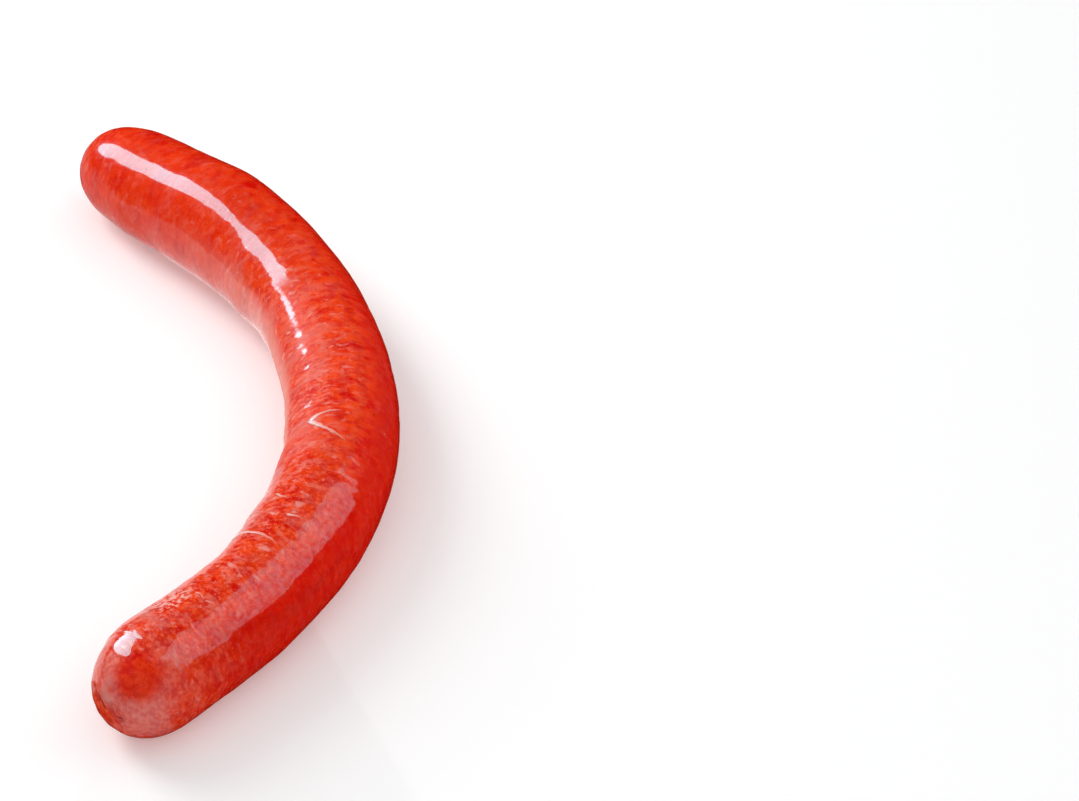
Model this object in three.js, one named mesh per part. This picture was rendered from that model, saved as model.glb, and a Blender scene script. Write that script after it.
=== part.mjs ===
// One raw sausage link lying on its side: coarse red meat in a thin natural casing, bowed into an
// open arc, with a tucked gather of casing at each end. Millimetres, +Z up. The sausage rests on
// z = 0 along a narrow flattened strip, its two ends point along +Y and -Y, and it bows towards +X.
import * as THREE from "three";

// Driving dimensions.
const GIRTH_RADIUS = 14.85; // half the thickness of the filled casing
const FAR_SWELL = 1.7; // extra radius of the thickest stretch, behind the far end
const FAR_SWELL_AT = 58; // its place, measured along the sausage from the far tip
const FAR_SWELL_LENGTH = 21.5;
const MID_SWELL = 0.4;
const MID_SWELL_AT = 168;
const MID_SWELL_LENGTH = 24;
const NEAR_SLIMMING = 0.55; // the near third is slimmer than the rest
const NEAR_SLIMMING_FROM = 180;
const NEAR_SLIMMING_TO = 215;
const FAR_END_LENGTH = 29.7; // each end rounds off to its tip over this length
const FAR_END_BLUNTNESS = 3.3;
const NEAR_END_LENGTH = 27;
const NEAR_END_BLUNTNESS = 3.8;
const TIP_LENGTH = 13.7; // the last stretch of each end is straight
const TABLE_PRESS = 0.65; // how far the soft underside is pressed flat by its own weight
const LARGE_LUMP = 0.24; // height of the slight lumps the coarse filling raises in the casing
const SMALL_LUMP = 0.13;
const LUMP_SEED = 11;
const TUCK_DEPTH = 0.7; // the casing is drawn in at both tips
const TUCK_RADIUS = 4.5;
const SLIT_DEPTH = 0.8; // a crooked slit runs across each tuck
const SLIT_HALF_LENGTH = 4.2;
const SLIT_HALF_WIDTH = 1.5;
const SLIT_TURN = THREE.MathUtils.degToRad(51);
const FOLD_DEPTH = 0.6; // slight folds of gathered casing round the slit
const FOLD_RADIUS = 5.4;
const FOLD_REACH = 3.4;
const NEAR_TIP_FLAT = 0.55; // the near tip is pressed flat on its inner side
const RING_SIDES = 36;
const CAP_RINGS = 12;
const BODY_RINGS = 114;

// The middle line, seen from above, from the centre of the far end to the centre of the near end.
const MIDDLE_LINE = new THREE.CatmullRomCurve3([
  new THREE.Vector3(-34.8, 111.1, 0),
  new THREE.Vector3(-9.3, 85, 0),
  new THREE.Vector3(13.9, 56.7, 0),
  new THREE.Vector3(27.7, 22.9, 0),
  new THREE.Vector3(32.9, -13.9, 0),
  new THREE.Vector3(28.1, -50, 0),
  new THREE.Vector3(12.5, -82.9, 0),
  new THREE.Vector3(-10.4, -111.7, 0),
]);
MIDDLE_LINE.arcLengthDivisions = 800;

// Shallow swells and hollows along the inner flank, where the casing is slack in the bend:
// place along the sausage, height and half length.
const INNER_FLANK = [
  [29, 1, 8],
  [57, -0.85, 10],
  [86, 1.05, 8],
  [131, 0.25, 9],
  [173, -0.75, 6],
  [209, 1.05, 8],
  [231, -0.6, 8],
  [265, 0.75, 9],
];

const LINE_LENGTH = MIDDLE_LINE.getLength();
const TOTAL_LENGTH = LINE_LENGTH + 2 * TIP_LENGTH;
const UP = new THREE.Vector3(0, 0, 1);

const bell = (x) => Math.exp(-x * x);

// Points are kept to a thousandth of a millimetre, so that the lathe's seam closes.
const snap = (x) => Math.round(x * 1000) / 1000;

// How far the round end is open at a distance from its tip: 0 at the tip, 1 on the body.
function rounding(fromTip, length, bluntness) {
  return Math.sqrt(1 - (1 - Math.min(fromTip / length, 1)) ** bluntness);
}

// The filled casing's radius at a distance from the far tip.
function casingRadius(along) {
  const slim = THREE.MathUtils.smoothstep(along, NEAR_SLIMMING_FROM, NEAR_SLIMMING_TO);
  const body =
    GIRTH_RADIUS +
    FAR_SWELL * bell((along - FAR_SWELL_AT) / FAR_SWELL_LENGTH) +
    MID_SWELL * bell((along - MID_SWELL_AT) / MID_SWELL_LENGTH) -
    NEAR_SLIMMING * slim;
  const farEnd = rounding(along, FAR_END_LENGTH, FAR_END_BLUNTNESS);
  const nearEnd = rounding(TOTAL_LENGTH - along, NEAR_END_LENGTH, NEAR_END_BLUNTNESS);
  return body * farEnd * nearEnd;
}

// The straight sausage, turned about its own length: rings close together towards the tips.
function straightProfile() {
  const places = [];
  for (let i = 0; i < CAP_RINGS; i++) {
    places.push(TIP_LENGTH * (1 - Math.cos((i / CAP_RINGS) ** 1.15 * (Math.PI / 2))));
  }
  const farPlaces = [...places];
  for (let i = 0; i <= BODY_RINGS; i++) {
    places.push(TIP_LENGTH + (LINE_LENGTH * i) / BODY_RINGS);
  }
  places.push(...farPlaces.reverse().map((place) => TOTAL_LENGTH - place));
  return places.map((along) => new THREE.Vector2(casingRadius(along), along));
}

// Smooth random heights from -1 to 1 over space, the same on every run.
const latticeHeights = (() => {
  let state = LUMP_SEED;
  return Array.from({ length: 1024 }, () => {
    state = (Math.imul(state, 1664525) + 1013904223) >>> 0;
    return state / 2 ** 31 - 1;
  });
})();

const latticeHeight = (x, y, z) => latticeHeights[(x * 7 + y * 131 + z * 389 + 100000) & 1023];

function unevenness(x, y, z) {
  const [cx, cy, cz] = [Math.floor(x), Math.floor(y), Math.floor(z)];
  const [fx, fy, fz] = [x - cx, y - cy, z - cz].map((f) => THREE.MathUtils.smootherstep(f, 0, 1));
  const { lerp } = THREE.MathUtils;
  const edge = (dy, dz) =>
    lerp(latticeHeight(cx, cy + dy, cz + dz), latticeHeight(cx + 1, cy + dy, cz + dz), fx);
  return lerp(lerp(edge(0, 0), edge(1, 0), fy), lerp(edge(0, 1), edge(1, 1), fy), fz);
}

// Lumps of the coarse filling, as a height over the smooth casing.
function lumps(along, side) {
  const [across, up] = [Math.cos(side), Math.sin(side)];
  return (
    LARGE_LUMP * unevenness(along / 13, across * 1.1, up * 1.1) +
    SMALL_LUMP * unevenness(along / 5.5, across * 2.4 + 7, up * 2.4)
  );
}

// The gather at a tip, as a depth: the casing is drawn in a little, with a crooked slit across the
// middle and uneven folds round it.
function gather(out, side, end) {
  const run = out * Math.cos(side - SLIT_TURN);
  const crook = 1.2 * unevenness(run / 2.4, end * 5 + 3, 7);
  const across = out * Math.sin(side - SLIT_TURN) - crook;
  const slit = SLIT_DEPTH * bell(run / SLIT_HALF_LENGTH) * bell(across / SLIT_HALF_WIDTH);
  const reach = bell((out - FOLD_RADIUS) / FOLD_REACH) * Math.min(out / 2.5, 1);
  const fold = unevenness(Math.cos(side) * 1.9 + 3, Math.sin(side) * 1.9, out / 9 + end * 5);
  return TUCK_DEPTH * bell(out / TUCK_RADIUS) + slit - FOLD_DEPTH * reach * (fold - 0.3);
}

// Swells and hollows of the inner flank: side 0 points into the bend.
function innerFlank(along, side) {
  const facing = (0.5 + 0.5 * Math.cos(side)) ** 2;
  return INNER_FLANK.reduce((sum, [at, height, half]) => sum + height * facing * bell((along - at) / half), 0);
}

// Put the origin on the table, under the middle of the sausage's outline.
function centre(geometry) {
  geometry.computeBoundingBox();
  const middle = geometry.boundingBox.getCenter(new THREE.Vector3());
  geometry.translate(-snap(middle.x), -snap(middle.y), 0);
}

const place = new THREE.Vector3();
const forward = new THREE.Vector3();
const inner = new THREE.Vector3();

// Bend the straight sausage along the middle line and lay it on the table.
function lay(geometry) {
  const position = geometry.getAttribute("position");
  for (let i = 0; i < position.count; i++) {
    const along = position.getY(i);
    const out = Math.hypot(position.getX(i), position.getZ(i));
    const side = out < 1e-6 ? 0 : Math.atan2(position.getZ(i), position.getX(i));
    const onLine = THREE.MathUtils.clamp(along - TIP_LENGTH, 0, LINE_LENGTH);
    MIDDLE_LINE.getPointAt(onLine / LINE_LENGTH, place);
    MIDDLE_LINE.getTangentAt(onLine / LINE_LENGTH, forward);
    inner.crossVectors(forward, UP);

    // Past the middle line's ends the tip runs on straight.
    const beyond = along - TIP_LENGTH - onLine;
    const shell = out < 1e-6 ? 0 : THREE.MathUtils.smoothstep(out, 0, 9);
    const relief = (lumps(along, side) + innerFlank(along, side)) * shell;
    const onTip = Math.min(Math.abs(beyond) / 3, 1);
    const drawn = onTip * gather(out, side, beyond > 0 ? 1 : 0);
    const flat = beyond > 0
      ? NEAR_TIP_FLAT * Math.max(0, Math.cos(side - 0.35)) * bell((out - 10.5) / 4.5)
      : 0;

    const radius = out + relief - flat * 0.5;
    place.addScaledVector(forward, beyond - Math.sign(beyond) * (drawn + flat * onTip));
    place.addScaledVector(inner, radius * Math.cos(side));
    const rest = casingRadius(THREE.MathUtils.clamp(along, TIP_LENGTH, TOTAL_LENGTH - TIP_LENGTH));
    place.z = Math.max(0, rest - TABLE_PRESS + radius * Math.sin(side));
    position.setXYZ(i, snap(place.x), snap(place.y), snap(place.z));
  }
  centre(geometry);
  geometry.computeVertexNormals();
  return geometry;
}

const casing = new THREE.MeshStandardMaterial({ color: 0xcf3a26, roughness: 0.3, metalness: 0 });

const sausage = new THREE.Mesh(lay(new THREE.LatheGeometry(straightProfile(), RING_SIDES)), casing);
sausage.name = "sausage";

const part = new THREE.Group();
part.name = "raw_sausage_link";
part.add(sausage);

export default part;
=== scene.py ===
import math
import random

import bmesh
import bpy
import numpy as np
from mathutils import Matrix, Vector, noise


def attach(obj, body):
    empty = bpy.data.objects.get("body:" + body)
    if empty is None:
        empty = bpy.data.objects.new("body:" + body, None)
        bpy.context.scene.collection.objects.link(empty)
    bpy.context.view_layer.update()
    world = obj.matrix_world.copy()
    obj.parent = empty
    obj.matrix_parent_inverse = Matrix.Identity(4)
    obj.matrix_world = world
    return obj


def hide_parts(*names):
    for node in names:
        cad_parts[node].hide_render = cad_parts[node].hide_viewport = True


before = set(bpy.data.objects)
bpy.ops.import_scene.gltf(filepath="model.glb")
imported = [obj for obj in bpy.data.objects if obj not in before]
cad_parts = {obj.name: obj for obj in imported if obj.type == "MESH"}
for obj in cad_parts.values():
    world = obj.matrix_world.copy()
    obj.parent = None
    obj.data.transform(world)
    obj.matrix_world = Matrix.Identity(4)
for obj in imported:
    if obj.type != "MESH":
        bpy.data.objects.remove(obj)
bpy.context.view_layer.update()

# The camera looks down on the table from a metre away through a long lens, so that the far end
# of the sausage is only a little smaller than the near one.
camera_height = math.radians(37)
camera_away = 1.0015
camera_aim = Vector((0.08483, -0.00063, 0.015))
camera_data = bpy.data.cameras.new("camera")
camera_data.sensor_width = 36
camera_data.lens = 125.83
camera = bpy.data.objects.new("camera", camera_data)
camera.location = camera_aim + camera_away * Vector(
    (0, -math.cos(camera_height), math.sin(camera_height))
)
camera.rotation_euler = (math.pi / 2 - camera_height, 0, 0)
bpy.context.collection.objects.link(camera)
bpy.context.scene.camera = camera

# The sausage: coarse red meat stuffed into a thin clear length of natural casing, which is
# drawn in at both tips. It lies on its side, bowed by the stuffing, and its weight presses a
# narrow strip flat underneath. Its shape is worked out in millimetres.
MM = 0.001
middle_line_stops = (
    Vector((-34.8, 111.1)),
    Vector((-9.3, 85.0)),
    Vector((13.9, 56.7)),
    Vector((27.7, 22.9)),
    Vector((32.9, -13.9)),
    Vector((28.1, -50.0)),
    Vector((12.5, -82.9)),
    Vector((-10.4, -111.7)),
)
girth_radius = 14.85  # half the thickness of the filled casing
far_swell = 1.7  # extra radius of the thickest stretch, behind the far end
far_swell_at = 58  # its place, measured along the sausage from the far tip
far_swell_length = 21.5
middle_swell = 0.4
middle_swell_at = 168
middle_swell_length = 24
near_slimming = 0.55  # the near third is slimmer than the rest
near_slimming_from = 180
near_slimming_to = 215
far_end_length = 29.7  # each end rounds off to its tip over this length
far_end_bluntness = 3.3
near_end_length = 27
near_end_bluntness = 3.8
near_tip_flat = 0.55  # the near tip is pressed flat on its inner side
tip_length = 13.7  # the last stretch of each end is straight
tip_evening = 2.5  # over this length the underside passes gently into the tip
table_press = 0.65  # how far the underside is pressed flat
casing_rings = 800
casing_sides = 112


def middle_line():
    """The middle line as even points, with the direction and the length along it at each."""
    first = 2 * middle_line_stops[0] - middle_line_stops[1]
    last = 2 * middle_line_stops[-1] - middle_line_stops[-2]
    stops = (first, *middle_line_stops, last)
    points = []
    steps = 100
    for before, start, end, after in zip(stops, stops[1:], stops[2:], stops[3:]):
        leave = (end - before) / 2
        arrive = (after - start) / 2
        for step in range(steps):
            t = step / steps
            points.append(
                start * (2 * t**3 - 3 * t**2 + 1)
                + leave * (t**3 - 2 * t**2 + t)
                + end * (3 * t**2 - 2 * t**3)
                + arrive * (t**3 - t**2)
            )
    points = np.array([*points, middle_line_stops[-1]])
    lengths = np.concatenate(([0], np.cumsum(np.hypot(*np.diff(points, axis=0).T))))
    return points, np.gradient(points, lengths, axis=0), lengths


line_points, line_ways, line_lengths = middle_line()
line_length = line_lengths[-1]
total_length = line_length + 2 * tip_length


def bell(x):
    return math.exp(-x * x)


def ease(x, low, high):
    t = min(max((x - low) / (high - low), 0), 1)
    return t * t * (3 - 2 * t)


def spot(along, degrees, middle, half_length, half_width):
    """A soft round patch, 1 at its middle, which is a place along and degrees round."""
    return bell((along - middle[0]) / half_length) * bell((degrees - middle[1]) / half_width)


def rounding(from_tip, length, bluntness):
    """How far a round end is open at a distance from its tip: 0 at the tip, 1 on the body."""
    return math.sqrt(max(0, 1 - (1 - min(from_tip / length, 1)) ** bluntness))


def casing_radius(along):
    """The filled casing's radius: thickest behind the far end, slimmer towards the near one."""
    body = (
        girth_radius
        + far_swell * bell((along - far_swell_at) / far_swell_length)
        + middle_swell * bell((along - middle_swell_at) / middle_swell_length)
        - near_slimming * ease(along, near_slimming_from, near_slimming_to)
    )
    far_end = rounding(along, far_end_length, far_end_bluntness)
    near_end = rounding(total_length - along, near_end_length, near_end_bluntness)
    return body * far_end * near_end


# Shallow swells and hollows on the inside of the bend, where the casing is slack: place along the
# sausage, height and half length.
inner_flank_swells = (
    (29, 1, 8),
    (57, -0.85, 10),
    (86, 1.05, 8),
    (131, 0.25, 9),
    (173, -0.75, 6),
    (209, 1.05, 8),
    (231, -0.6, 8),
    (265, 0.75, 9),
)


def inner_flank(along, side):
    """The height of those swells and hollows, which fade out away from the inner flank."""
    swells = sum(height * bell((along - at) / half) for at, height, half in inner_flank_swells)
    return swells * (0.5 + 0.5 * math.cos(side)) ** 4


def slackness(along, side):
    """How slack the casing is: most on top of the bend's inner side and on the near shoulder."""
    bend_at = 158
    bend_half_length = 48
    slack_side = math.radians(55)
    bend = 0.15 + 0.85 * bell((along - bend_at) / bend_half_length)
    near_shoulder = 1.3 * spot(along, math.degrees(side), (256, 72), 10, 26)
    return bend * (0.5 + 0.5 * math.cos(side - slack_side)) + near_shoulder


def wet_places(along, side):
    """A wet streak and a few wet spots that stay glossy where the slack casing is dull."""
    degrees = math.degrees(side)
    streak_drift = 0.1 * (along - 111)
    streak = 1.3 * spot(along, degrees - streak_drift, (115, 51), 15, 4.5)
    drops = (
        spot(along, degrees, (130.6, 52), 1.5, 5)
        + spot(along, degrees, (139.4, 54), 1.9, 5)
        + 1.4 * spot(along, degrees, (147, 54), 2.1, 4.5)
        + 0.8 * spot(along, degrees, (162, 58), 1.1, 4)
    )
    ragged = noise.noise(Vector((along / 1.1, degrees / 4, 3)))
    return (streak + drops) * (1 + 0.8 * ragged)


# Heights of what the coarse filling and the slack casing raise.
large_lump = 0.20
small_lump = 0.04
grained_lump = 0.05  # extra height of the small lumps away from the far end
meat_grain = 0.04
wrinkle_height = 0.11
pucker_height = 0.07


def filling_relief(along, side):
    """Lumps of the coarse filling, with fine wrinkles and one small pucker of the casing."""
    across, up = math.cos(side), math.sin(side)
    large = noise.noise(Vector((along / 12, across * 1.3, up * 1.3)))
    lumps = noise.noise(Vector((along / 4.4, across * 3.4 + 9, up * 3.4)))
    grains = noise.noise(Vector((along / 1.9, across * 7.5, up * 7.5 + 4)))
    waver = 2.2 * noise.noise(Vector((along / 5, across * 3, up * 3 + 20)))
    wrinkle = noise.noise(Vector(((along + waver) / 2.1, across * 4.2 + 30, up * 4.2)))
    grain_shown = 0.3 + 0.7 * ease(along, 60, 120)
    pucker_at = 263
    pucker_drift = 1.1 * (along - pucker_at)
    puckered = spot(along, math.degrees(side) + pucker_drift, (pucker_at, 91.75), 4.5, 7)
    return (
        large_lump * large
        + (small_lump + grained_lump * grain_shown) * lumps
        + meat_grain * grain_shown * grains
        + wrinkle_height * wrinkle * slackness(along, side)
        + pucker_height * puckered * math.sin(along * 3.7)
    )


def crevice(plan, centre, degrees, half_length, half_width):
    """A short crooked crevice in a drawn-in tip, 1 along its bottom and 0 away from it."""
    turn = math.radians(degrees)
    offset = plan - Vector(centre)
    run = offset.x * math.cos(turn) + offset.y * math.sin(turn)
    across = offset.y * math.cos(turn) - offset.x * math.sin(turn)
    crook = 0.9 * noise.noise(Vector((run / 2.2, centre[0], centre[1])))
    return bell(run / half_length) * bell((across - crook) / half_width)


def gather(out, side, end):
    """How deep the casing is drawn in at a tip, how creased it is and how milky its film."""
    plan = Vector((out * math.cos(side), out * math.sin(side)))
    deep = crevice(plan, centre=(2.9, 1.1), degrees=46, half_length=3.6, half_width=0.55)
    short = crevice(plan, centre=(4.9, 1.2), degrees=36, half_length=2.3, half_width=0.4)
    small = crevice(plan, centre=(-3.1, -1.2), degrees=20, half_length=1.1, half_width=0.5)
    reach = bell((out - 5.2) / 3.6) * min(out / 2.5, 1)
    fold = noise.noise(Vector((plan.x / 2.4 + end * 7, plan.y / 2.4, 5)))
    tuck = 0.7 * bell(out / 4.5)
    depth = tuck + 0.75 * deep + 0.5 * short + 0.45 * small - 0.35 * reach * fold
    film_middle = Vector((1.5, 4.6))
    film_radius = 4.2
    milky = bell((plan - film_middle).length / film_radius) * (0.75 + 0.6 * fold)
    return depth, min(1, deep + 0.8 * short + 0.8 * small), max(0, milky)


def resting_height(along):
    """How high the middle line lies: half the casing's thickness, evened out in the tips."""
    from_tip = min(along, total_length - along) - tip_length
    evened = tip_length + (from_tip + math.hypot(from_tip, tip_evening)) / 2
    if along > total_length / 2:
        evened = total_length - evened
    return casing_radius(evened) - table_press


def lay(along, out, side):
    """Places a point of the straight sausage on the bent one, with its gather's marks."""
    on_line = min(max(along - tip_length, 0), line_length)
    beyond = along - tip_length - on_line
    middle = Vector([np.interp(on_line, line_lengths, line_points[:, i]) for i in (0, 1)])
    way = Vector([np.interp(on_line, line_lengths, line_ways[:, i]) for i in (0, 1)]).normalized()
    inner = Vector((way.y, -way.x))
    relief = (filling_relief(along, side) + inner_flank(along, side)) * ease(out, 0, 9)
    radius = out + relief
    ahead = creased = milky = 0
    if beyond:
        on_tip = min(abs(beyond) / 3, 1)
        drawn, creased, milky = gather(out, side, 1 if beyond > 0 else 0)
        flat = 0
        if beyond > 0:
            flat = near_tip_flat * max(0, math.cos(side - 0.35)) * bell((out - 10.5) / 4.5)
        radius -= flat * 0.5
        ahead = beyond - math.copysign(on_tip, beyond) * (drawn + flat)
    plan = middle + way * ahead + inner * radius * math.cos(side)
    height = max(0, resting_height(along) + radius * math.sin(side))
    return Vector((plan.x, plan.y, height)), creased, milky


def ring_place(run):
    """Where a ring of the sheet of casing comes along the sausage, closer at the tips."""
    tip_share = 0.11
    cap = min(run, 1 - run) / tip_share * math.pi / 2
    if cap < math.pi / 2:
        from_tip = tip_length * (1 - math.cos(max(cap, 0)))
        return from_tip if run < 0.5 else total_length - from_tip
    return tip_length + line_length * (run - tip_share) / (1 - 2 * tip_share)


casing = bmesh.new()
straight = casing.verts.layers.float_vector.new("straight")
creased_mark = casing.verts.layers.float.new("creased")
milky_mark = casing.verts.layers.float.new("milky")
slack_mark = casing.verts.layers.float.new("slack")
wet_mark = casing.verts.layers.float.new("wet")
casing.loops.layers.uv.new("casing")
bmesh.ops.create_grid(
    casing, x_segments=casing_rings, y_segments=casing_sides, size=0.5, calc_uvs=True
)
for vert in casing.verts:
    along = ring_place(vert.co.x + 0.5)
    side = (vert.co.y + 0.5) * 2 * math.pi - math.pi / 2
    out = casing_radius(along)
    place, vert[creased_mark], vert[milky_mark] = lay(along, out, side)
    vert[straight] = Vector((out * math.cos(side), along, out * math.sin(side))) * MM
    vert[slack_mark] = slackness(along, side)
    vert[wet_mark] = wet_places(along, side)
    vert.co = place * MM
seam_gap = 0.002 * MM
bmesh.ops.remove_doubles(casing, verts=casing.verts, dist=seam_gap)
bmesh.ops.recalc_face_normals(casing, faces=casing.faces)
for face in casing.faces:
    face.smooth = True
sausage_mesh = bpy.data.meshes.new("sausage_link")
casing.to_mesh(sausage_mesh)
casing.free()
sausage = bpy.data.objects.new("sausage_link", sausage_mesh)
bpy.context.collection.objects.link(sausage)


class Wire:
    """A number on its way through a finish: arithmetic on it adds Math nodes."""

    def __init__(self, socket):
        self.socket = socket

    def math(self, operation, first, second):
        return Finish(self.socket.id_data).wire(
            "ShaderNodeMath", {"operation": operation}, {0: first, 1: second}
        )

    def __add__(self, other):
        return self.math("ADD", self, other)

    def __sub__(self, other):
        return self.math("SUBTRACT", self, other)

    def __mul__(self, other):
        return self.math("MULTIPLY", self, other)

    def __rsub__(self, other):
        return self.math("SUBTRACT", other, self)

    __radd__ = __add__
    __rmul__ = __mul__


class Finish:
    """The node tree of a finish, and the one way that a node is added to it."""

    def __init__(self, tree):
        self.tree = tree

    def node(self, kind, settings, sockets):
        node = self.tree.nodes.new(kind)
        for name, value in settings.items():
            setattr(node, name, value)
        for name, value in sockets.items():
            if isinstance(value, Wire):
                self.tree.links.new(value.socket, node.inputs[name])
            else:
                node.inputs[name].default_value = value
        return node

    def wire(self, kind, settings, sockets, output=0):
        return Wire(self.node(kind, settings, sockets).outputs[output])

    def marked(self, name):
        """A number that is stored at the mesh's points."""
        return self.wire("ShaderNodeAttribute", {"attribute_name": name}, {}, output=2)

    def stretched(self, place, stretch, shift):
        """Coordinates in which a feature of the given size, in mm, measures one."""
        sized = tuple(1 / (size * MM) for size in stretch)
        return self.wire(
            "ShaderNodeVectorMath",
            {"operation": "MULTIPLY_ADD"},
            {0: place, 1: sized, 2: shift},
        )

    def cloudy(self, place, detail=2.0, roughness=0.5, distortion=0.0, output=0):
        return self.wire(
            "ShaderNodeTexNoise",
            {"normalize": True},
            {
                "Vector": place,
                "Scale": 1.0,
                "Detail": detail,
                "Roughness": roughness,
                "Distortion": distortion,
            },
            output,
        )

    def between(self, value, low, high, to_low=0.0, to_high=1.0):
        return self.wire(
            "ShaderNodeMapRange",
            {"interpolation_type": "SMOOTHSTEP"},
            {"Value": value, "From Min": low, "From Max": high, "To Min": to_low, "To Max": to_high},
        )

    def blend(self, amount, first, second):
        return self.wire(
            "ShaderNodeMix", {"data_type": "RGBA"}, {0: amount, 6: first, 7: second}, output=2
        )


meat_material = bpy.data.materials.new("raw_meat_in_casing")
meat_material.use_nodes = True
meat_material.node_tree.nodes.clear()
meat = Finish(meat_material.node_tree)
on_sausage = meat.wire("ShaderNodeAttribute", {"attribute_name": "straight"}, {}, output=1)
creased = meat.marked("creased")
milky = meat.marked("milky")
slack = meat.marked("slack")
wet = meat.marked("wet")

deep_red = (0.66, 0.005, 0.001, 1)
meat_red = (0.78, 0.024, 0.004, 1)
dark_red = (0.52, 0.006, 0.002, 1)
orange_red = (0.87, 0.060, 0.008, 1)
coral = (0.88, 0.20, 0.14, 1)
# The pale pink of fat, used below also for painted highlights and a painted reflection.
fat_and_sheen_pink = (0.92, 0.44, 0.38, 1)
film_pink = (0.74, 0.26, 0.23, 1)
crevice_shade_red = (0.26, 0.010, 0.008, 1)
pepper_brown = (0.12, 0.02, 0.01, 1)

# Where the casing is slack and frosted, on the upper and inner side and away from the far end,
# the filling shows through it paler and in more detail. The outer flank and a patch on the near
# end carry painted shade: they are painted a deep, plain red.
casing_reach = 15 * MM
facing = meat.wire(
    "ShaderNodeVectorMath",
    {"operation": "DOT_PRODUCT"},
    {0: on_sausage, 1: (0.8 / casing_reach, 0, 0.6 / casing_reach)},
    output=1,
)
upper_inner = meat.between(facing, 0.15, 1.0)
straight_axes = meat.node("ShaderNodeSeparateXYZ", {}, {"Vector": on_sausage})
inward = Wire(straight_axes.outputs[0])
along = Wire(straight_axes.outputs[1])
before_near_end = meat.between(along, 270 * MM, 244 * MM, 0.25, 1)
# Painted shade: the outer flank is painted a deeper, plainer red, weaker on the near end.
shaded_outer_flank = meat.between(-1 * inward, 4 * MM, 12.5 * MM) * before_near_end
past_far_end = meat.between(along, 50 * MM, 125 * MM)
near_third = meat.between(along, 175 * MM, 215 * MM)
frosted = (0.12 + 0.62 * upper_inner + 0.36 * near_third) * (0.3 + 0.7 * past_far_end)
frosted = frosted * (1 - 0.92 * shaded_outer_flank)
# Painted shade: a patch on the near end, where nothing bright is mirrored, is painted deeper red and
# plainer.
patch_middle = (-5.0 * MM, 278.0 * MM, 9.5 * MM)
from_patch = meat.wire(
    "ShaderNodeVectorMath",
    {"operation": "DISTANCE"},
    {0: on_sausage, 1: patch_middle},
    output=1,
)
shaded_near_patch = meat.between(from_patch, 8.5 * MM, 4 * MM)
frosted = frosted * (1 - 0.85 * shaded_near_patch)

# Minced meat: darker and lighter muscle with a finer grain between them.
blotches = meat.cloudy(meat.stretched(on_sausage, (8, 6, 8), (3, 1, 2)), 1.0)
mince = meat.cloudy(meat.stretched(on_sausage, (3.4, 2.6, 3.4), (7, 4, 1)), 1.0, 0.5, 0.3)
muscle = meat.blend(meat.between(blotches + 0.22 * upper_inner, 0.42, 0.72), deep_red, meat_red)
mince_shown = meat.between(mince, 0.38, 0.62) * (0.3 + 0.5 * past_far_end)
muscle = meat.blend(mince_shown + 0.25 * meat.between(blotches, 0.4, 0.6), muscle, orange_red)
# Painted shade: the outer flank and the patch on the near end are painted deeper red.
muscle = meat.blend(shaded_outer_flank * 0.82 + shaded_near_patch * 0.4, muscle, deep_red)

# Soft mottles of a paler tone, where fat shows, and small round grains of fat. Short wavy pale
# strokes over the slack casing are painted highlights on the ridges of its wrinkles.
mottle_field = meat.cloudy(meat.stretched(on_sausage, (3.0, 2.3, 3.0), (2, 6, 3)), 1.0, 0.5, 0.2)
mottles = meat.between(mottle_field, 0.47, 0.74)
swirl_reach = 3.0 * MM
swirl = meat.cloudy(meat.stretched(on_sausage, (4.5, 4.5, 4.5), (2, 8, 2)), 0.0, output=1)
swirled = meat.wire(
    "ShaderNodeVectorMath",
    {"operation": "MULTIPLY_ADD"},
    {0: swirl, 1: (swirl_reach, swirl_reach, swirl_reach), 2: on_sausage},
)
stroke_field = meat.cloudy(meat.stretched(swirled, (3.8, 1.35, 3.8), (4, 0, 6)), 1.0, 0.45)
stroke_zone = meat.cloudy(meat.stretched(on_sausage, (10, 8, 10), (5, 5, 1)), 1.0)
wrinkle_sheen_strokes = meat.between(stroke_field + stroke_zone * 0.12, 0.56, 0.74)
fat_field = meat.cloudy(meat.stretched(swirled, (2.4, 1.8, 2.4), (1, 9, 5)), 0.6, 0.4)
fat = meat.between(fat_field + stroke_zone * 0.12, 0.70, 0.86)
grain_cells = meat.node(
    "ShaderNodeTexVoronoi", {}, {"Vector": meat.stretched(swirled, (2.8, 2.5, 2.8), (0, 2, 7))}
)
grain_chosen = meat.between(
    meat.wire("ShaderNodeSeparateColor", {}, {0: Wire(grain_cells.outputs[1])}), 0.50, 0.56
)
fat_grains = meat.between(Wire(grain_cells.outputs[0]), 0.30, 0.12) * grain_chosen

colour = meat.blend(mottles * frosted * 0.75, muscle, coral)
# Painted highlights: pale wavy strokes on the wrinkle ridges of the slack casing.
colour = meat.blend(wrinkle_sheen_strokes * slack * (0.15 + 0.4 * upper_inner), colour, coral)
speck_field = meat.cloudy(meat.stretched(on_sausage, (1.15, 1.0, 1.15), (5, 2, 9)), 1.0)
specked = (0.2 + 0.8 * near_third) * (1 - 0.4 * shaded_outer_flank) * frosted
colour = meat.blend(meat.between(speck_field, 0.52, 0.72) * specked * 0.55, colour, coral)
dark_specked = 0.10 + 0.12 * past_far_end + 0.20 * near_third
colour = meat.blend(meat.between(speck_field, 0.52, 0.34) * dark_specked, colour, dark_red)
colour = meat.blend(fat * frosted * 0.7, colour, fat_and_sheen_pink)
colour = meat.blend(fat_grains * (0.08 + 0.62 * frosted), colour, fat_and_sheen_pink)
# Painted highlights: pale flecks where the wrinkles of the slack near shoulder catch the light.
fleck_field = speck_field + 0.3 * mottle_field
shoulder_glints = meat.between(slack, 0.9, 1.3) * meat.between(fleck_field, 0.64, 0.74)
colour = meat.blend(shoulder_glints * 0.8, colour, fat_and_sheen_pink)
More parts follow.
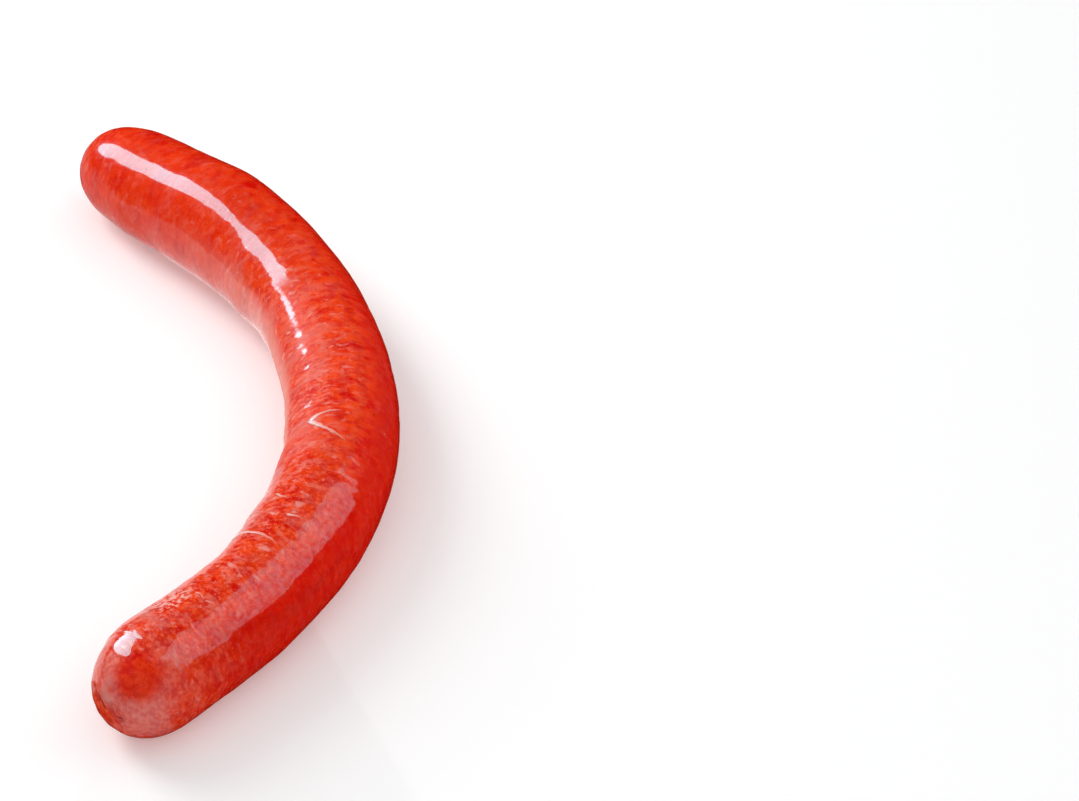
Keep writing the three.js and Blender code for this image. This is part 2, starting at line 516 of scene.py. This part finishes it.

# A thicker, milky film of casing lies in soft patches over the near end and beside the drawn-in
# tips. A pale band along the inner rim is a painted reflection of the pale table.
film_field = meat.cloudy(meat.stretched(on_sausage, (15, 10, 15), (8, 3, 3)), 2.0, 0.5)
film = meat.between(film_field, 0.5, 0.74)
colour = meat.blend(film * frosted * 0.45, colour, film_pink)
# Painted reflection: the inner rim is painted pale pink where it mirrors the table.
inner_rim_reflection = meat.between(inward, 12.8 * MM, 15.2 * MM) * past_far_end * (1 - 0.9 * near_third)
colour = meat.blend(inner_rim_reflection * 0.6, colour, fat_and_sheen_pink)
near_film = meat.between(along, 266 * MM, 280 * MM) * meat.between(film_field, 0.30, 0.60)
near_film = near_film * (0.34 + 0.26 * meat.between(speck_field, 0.38, 0.66))
colour = meat.blend(near_film * (1 - shaded_near_patch), colour, film_pink)
colour = meat.blend(meat.between(milky, 0.1, 0.9) * 0.8, colour, film_pink)
# Painted shade: the crevices of the drawn-in tips are painted dark.
colour = meat.blend(meat.between(creased, 0.35, 0.85) * 0.9, colour, crevice_shade_red)

# Peppercorn dust: a very few dark specks.
pepper_field = meat.cloudy(meat.stretched(on_sausage, (0.9, 0.9, 0.9), (6, 6, 6)), 0.0)
pepper = meat.between(pepper_field, 0.865, 0.89)
colour = meat.blend(pepper, colour, pepper_brown)

height = (mottle_field * 0.6 + fat * 0.15) * frosted + stroke_field * slack * 0.6
relief = meat.wire(
    "ShaderNodeBump", {}, {"Strength": 0.45, "Distance": 0.30 * MM, "Height": height}
)

# The casing is moist and glossy, less so where it is slack, apart from small wet spots there.
wetness = meat.cloudy(meat.stretched(on_sausage, (2.2, 2.8, 2.2), (9, 2, 4)), 1.0)
kept_wet = 0.5 * meat.between(wetness, 0.63, 0.70) + 0.85 * meat.between(wet, 0.25, 1.2)
dulled = meat.between(slack - 0.9 * near_third, 0.35, 0.45) * meat.between(kept_wet, 0.9, 0.0)
gloss_grain = meat.cloudy(meat.stretched(on_sausage, (1.3, 1.3, 1.3), (3, 3, 8)), 1.0)
before_near_spot = meat.between(along, 265 * MM, 259 * MM)
grainy = near_third * before_near_spot * meat.between(gloss_grain, 0.40, 0.65)
far_tip = meat.between(along, 30 * MM, 12 * MM)
gloss = (0.85 - 0.5 * grainy - 0.3 * far_tip) * (1 - 0.97 * dulled)
roughness = meat.between(mottle_field, 0.35, 0.7, 0.18, 0.34) + 0.22 * dulled
shader = meat.node(
    "ShaderNodeBsdfPrincipled",
    {"subsurface_method": "RANDOM_WALK"},
    {
        "Base Color": colour,
        "Roughness": roughness,
        "Normal": relief,
        "IOR": 1.42,
        "Specular IOR Level": 0.06,
        "Subsurface Weight": 0.15,
        "Subsurface Radius": (1.0, 0.25, 0.12),
        "Subsurface Scale": 1.4 * MM,
        "Coat Weight": gloss,
        "Coat Roughness": 0.06,
        "Coat IOR": 1.42,
    },
)
meat.node("ShaderNodeOutputMaterial", {}, {"Surface": Wire(shader.outputs[0])})
sausage.data.materials.append(meat_material)
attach(sausage, "root")
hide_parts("sausage")

# Threads of sinew: thin whitish strands left on the outside of the casing when it was cleaned.
# They lie flat and stick to it, most of them across the sausage.
sinew = bmesh.new()
thick_mark = sinew.verts.layers.float.new("thick")
thread_flatness = 0.18  # a thread is this much thinner than wide
thread_clearance = 0.02


def thread(start, bend, end, width):
    """One strand, thick at its start, over three stops: places along and degrees round."""
    start, bend, end = np.array((start, bend, end))
    strip = bmesh.ops.create_grid(sinew, x_segments=18, y_segments=6, size=0.5)["verts"]
    for vert in strip:
        t = vert.co.x + 0.5
        turn = (vert.co.y + 0.5) * 2 * math.pi
        along, degrees = (1 - t) ** 2 * start + 2 * t * (1 - t) * bend + t * t * end
        run_on, run_round = 2 * (1 - t) * (bend - start) + 2 * t * (end - bend)
        out = casing_radius(along)
        way = Vector((run_on, math.radians(run_round) * out)).normalized()
        ragged = 1 + 0.7 * noise.noise(Vector((along * 1.4, degrees / 4, width * 9)))
        thinning = (1 - 0.7 * t) * min(1, 3 * math.sqrt(max(0, t * (1 - t))))
        half_width = width / 2 * ragged * thinning
        aside = half_width * math.cos(turn)
        waver = 0.5 * noise.noise(Vector((along / 1.6, degrees / 9, width * 5)))
        aside += waver * math.sin(math.pi * t)
        lift = half_width * thread_flatness * math.sin(turn) + thread_clearance
        side = math.radians(degrees) + way.x * aside / out
        place, _, _ = lay(along - way.y * aside, out + lift, side)
        vert.co = place * MM
        vert[thick_mark] = thinning * min(1, width)


thread(start=(174.4, 61), bend=(171.8, 72), end=(171.0, 95), width=1.7)
thread(start=(173.6, 60), bend=(178.0, 76), end=(182.6, 106), width=1.9)
thread(start=(223.4, 36), bend=(221.6, 64), end=(224.4, 102), width=1.8)
thread(start=(205.0, 58), bend=(206.9, 66), end=(207.3, 78), width=0.9)
thread(start=(213.9, 88), bend=(213.0, 96), end=(213.2, 104), width=1.0)
thread(start=(211.0, 32), bend=(211.4, 44), end=(212.9, 54), width=0.7)
thread(start=(259.6, 42), bend=(257.9, 49), end=(257.3, 58), width=0.8)
thread(start=(250.6, 82), bend=(250.2, 90), end=(251.4, 97), width=0.7)
thread(start=(251.5, 99), bend=(250.2, 104), end=(250.8, 110), width=0.6)

# More of them, shorter and finer, are scattered over the outer and under side.
chance = random.Random(5)
scattered_threads = 16
for _ in range(scattered_threads):
    along = chance.uniform(40, total_length - 30)
    degrees = chance.uniform(120, 300)
    reach = chance.uniform(4, 22)
    drift = chance.gauss(0, 1.2)
    curl = chance.gauss(0, 0.9)
    thread(
        start=(along, degrees),
        bend=(along + drift / 2 + curl, degrees + reach / 2),
        end=(along + drift, degrees + reach),
        width=chance.uniform(0.3, 0.7),
    )
thread_seam_gap = 0.0005 * MM
bmesh.ops.remove_doubles(sinew, verts=sinew.verts, dist=thread_seam_gap)
bmesh.ops.recalc_face_normals(sinew, faces=sinew.faces)
for face in sinew.faces:
    face.smooth = True
threads_mesh = bpy.data.meshes.new("sinew_threads")
sinew.to_mesh(threads_mesh)
sinew.free()
threads = bpy.data.objects.new("sinew_threads", threads_mesh)
bpy.context.collection.objects.link(threads)

sinew_material = bpy.data.materials.new("wet_sinew")
sinew_material.use_nodes = True
sinew_material.node_tree.nodes.clear()
strand = Finish(sinew_material.node_tree)
on_strand = strand.wire("ShaderNodeTexCoord", {}, {}, output=3)
fibres = strand.cloudy(strand.stretched(on_strand, (0.5, 0.5, 0.5), (0, 0, 0)), 2.0, 0.6)
thick = strand.marked("thick")
thin_strand_red = (0.94, 0.17, 0.11, 1)
strand_pink = (0.98, 0.50, 0.46, 1)
strand_colour = strand.blend(
    strand.between(thick + 0.6 * fibres, 0.5, 1.2), thin_strand_red, strand_pink
)
strand_shader = strand.node(
    "ShaderNodeBsdfPrincipled",
    {"subsurface_method": "RANDOM_WALK"},
    {
        "Base Color": strand_colour,
        "Roughness": strand.between(fibres, 0.3, 0.7, 0.28, 0.45),
        "Subsurface Weight": 0.3,
        "Subsurface Radius": (1.0, 0.4, 0.3),
        "Subsurface Scale": 0.3 * MM,
        "Coat Weight": 0.3,
        "Coat Roughness": 0.15,
    },
)
strand.node("ShaderNodeOutputMaterial", {}, {"Surface": Wire(strand_shader.outputs[0])})
threads.data.materials.append(sinew_material)
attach(threads, "root")

# The table: a plain pale board that the sausage lies on, wide enough to fill the view.
half_table = 2.0
board = bmesh.new()
bmesh.ops.create_grid(board, x_segments=1, y_segments=1, size=half_table)
floor_mesh = bpy.data.meshes.new("table")
board.to_mesh(floor_mesh)
board.free()
floor = bpy.data.objects.new("table", floor_mesh)
bpy.context.collection.objects.link(floor)
table_finish = bpy.data.materials.new("white_table")
table_finish.use_nodes = True
table_inputs = table_finish.node_tree.nodes["Principled BSDF"].inputs
table_inputs["Base Color"].default_value = (0.86, 0.86, 0.86, 1)
table_inputs["Roughness"].default_value = 0.9
table_inputs["Specular IOR Level"].default_value = 0.1
table_inputs["Emission Color"].default_value = (1, 1, 1, 1)
table_inputs["Emission Strength"].default_value = 0.24
floor.data.materials.append(table_finish)
floor.visible_glossy = False


# The studio: a tall bright oval softbox behind on the left, a wide dim square one on the right, and
# soft light from above and in front. The first two are pairs of panels, a bluish one that only the
# gloss mirrors and a white one that lights the meat. Dim panels on the table stand for its mirroring.
def softbox(
    name, mirrored, way, away, across, width, length, radiance,
    aim=(0, 0, 0), colour=(1, 1, 1), shape="RECTANGLE",
):
    """A soft panel that faces the aimed-at point from the given way, either mirrored or lighting."""
    way = Vector(way).normalized()
    across = Vector(across)
    across = (across - way * across.dot(way)).normalized()
    upward = way.cross(across)
    data = bpy.data.lights.new(name, "AREA")
    data.shape = shape
    data.size = width
    data.size_y = length
    data.energy = radiance * math.pi * width * length
    data.color = colour
    panel = bpy.data.objects.new(name, data)
    panel.matrix_world = Matrix((across, upward, way)).transposed().to_4x4()
    panel.location = Vector(aim) + way * away
    panel.visible_camera = False
    panel.visible_glossy = mirrored
    panel.visible_diffuse = not mirrored
    bpy.context.collection.objects.link(panel)


bluish = (0.25, 0.86, 1)
pale_bluish = (0.3, 0.9, 1)
window = {
    "way": (-0.69, 0.42, 0.59),
    "away": 1.1,
    "across": (-0.685, -0.637, -0.347),
    "aim": (0.047, 0.123, 0.014),
    "shape": "ELLIPSE",
}
softbox("window_gloss", True, width=0.41, length=1.17, radiance=11.3, colour=bluish, **window)
softbox("window_light", False, width=0.50, length=1.15, radiance=5.2, **window)
side_box = {
    "way": (0.745, 0.12, 0.656),
    "away": 1.2,
    "across": (0.036, 0.975, -0.219),
    "aim": (-0.022, -0.031, 0.063),
    "width": 1.1,
    "length": 1.1,
}
softbox("side_gloss", True, radiance=2.7, colour=pale_bluish, **side_box)
softbox("side_light", False, radiance=2.8, **side_box)
rightward = (1, 0, 0)
softbox("ceiling", False, (0, 0, 1), 1.5, rightward, width=3.6, length=3.6, radiance=0.70)
softbox(
    "front_fill", False, (0.1, -0.85, 0.55), 1.6, rightward, width=1.8, length=1.0, radiance=1.0
)
above_table = 0.0005
for name, width, length, radiance, x, y in (
    ("bend_gloss", 0.16, 0.18, 0.75, -0.08, -0.005),
    ("pocket_gloss", 0.018, 0.12, 0.9, 0.009, 0.0),
    ("far_tip_gloss", 0.18, 0.035, 0.45, -0.11, 0.1025),
    ("far_side_gloss", 0.14, 0.07, 0.40, -0.13, 0.155),
    ("near_tip_gloss", 0.22, 0.10, 0.30, -0.06, -0.19),
):
    middle = (x, y, above_table)
    softbox(name, True, (0, 0, -1), 0, rightward, width, length, radiance, middle)

# A dim red surround that the gloss mirrors and that sheds no light on the meat.
world = bpy.data.worlds.new("studio")
world.use_nodes = True
world.node_tree.nodes["Background"].inputs["Color"].default_value = (1, 0.02, 0.005, 1)
world.node_tree.nodes["Background"].inputs["Strength"].default_value = 0.20
world.cycles_visibility.diffuse = False
bpy.context.scene.world = world
bpy.context.scene.view_settings.view_transform = "Standard"
bpy.context.scene.view_settings.look = "None"

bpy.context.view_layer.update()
